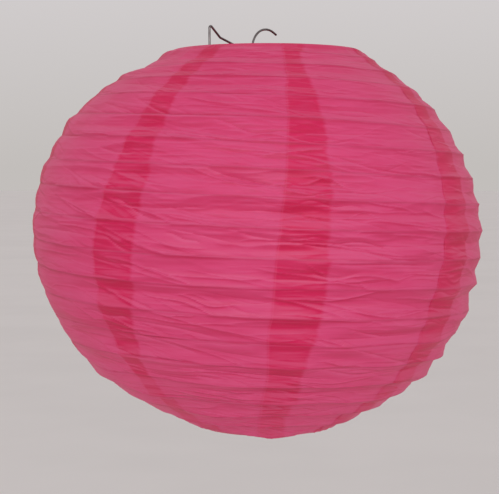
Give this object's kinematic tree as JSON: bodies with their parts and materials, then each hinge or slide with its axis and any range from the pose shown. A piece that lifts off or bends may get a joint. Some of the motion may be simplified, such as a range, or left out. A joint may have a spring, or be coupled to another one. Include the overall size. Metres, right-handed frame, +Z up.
{
  "type": "paper lantern",
  "caption": "Round hanging paper lantern of overlapping tissue gores on a spiral rib wire, with hoops at both mouths and a bent wire expander with a hook.",
  "frame": {"origin": "underside of the hanging hook's crown, where it rests on whatever it hangs from", "axes": "+Z up, away from the lantern; X in the plane of the wire expander, the hook's stem on the -X side; Y across it"},
  "size_m": [0.3996, 0.3996, 0.3579],
  "materials": {
    "paper": "matte crinkled tissue",
    "hoop_wire": "drawn steel wire",
    "rib_wire": "thin drawn steel wire",
    "expander_wire": "bright drawn steel wire"
  },
  "bodies": {
    "expander": {"wire_expander": "expander_wire"},
    "shade": {"top_hoop": "hoop_wire", "paper_gore_1": "paper", "paper_gore_2": "paper", "paper_gore_3": "paper", "paper_gore_4": "paper", "paper_gore_5": "paper", "paper_gore_6": "paper", "paper_gore_7": "paper", "paper_gore_8": "paper", "spiral_rib": "rib_wire"},
    "lower_hoop": {"bottom_hoop": "hoop_wire"}
  },
  "joints": [
    {"name": "shade_release", "type": "slide", "parent": "expander", "child": "shade", "axis": [0, 0, -1], "range_m": [0, 0.37]},
    {"name": "shade_fold", "type": "slide", "parent": "shade", "child": "lower_hoop", "axis": [0, 0, 1], "range_m": [0, 0.302], "deforming": ["paper_gore_1", "paper_gore_2", "paper_gore_3", "paper_gore_4", "paper_gore_5", "paper_gore_6", "paper_gore_7", "paper_gore_8", "spiral_rib"]}
  ]
}
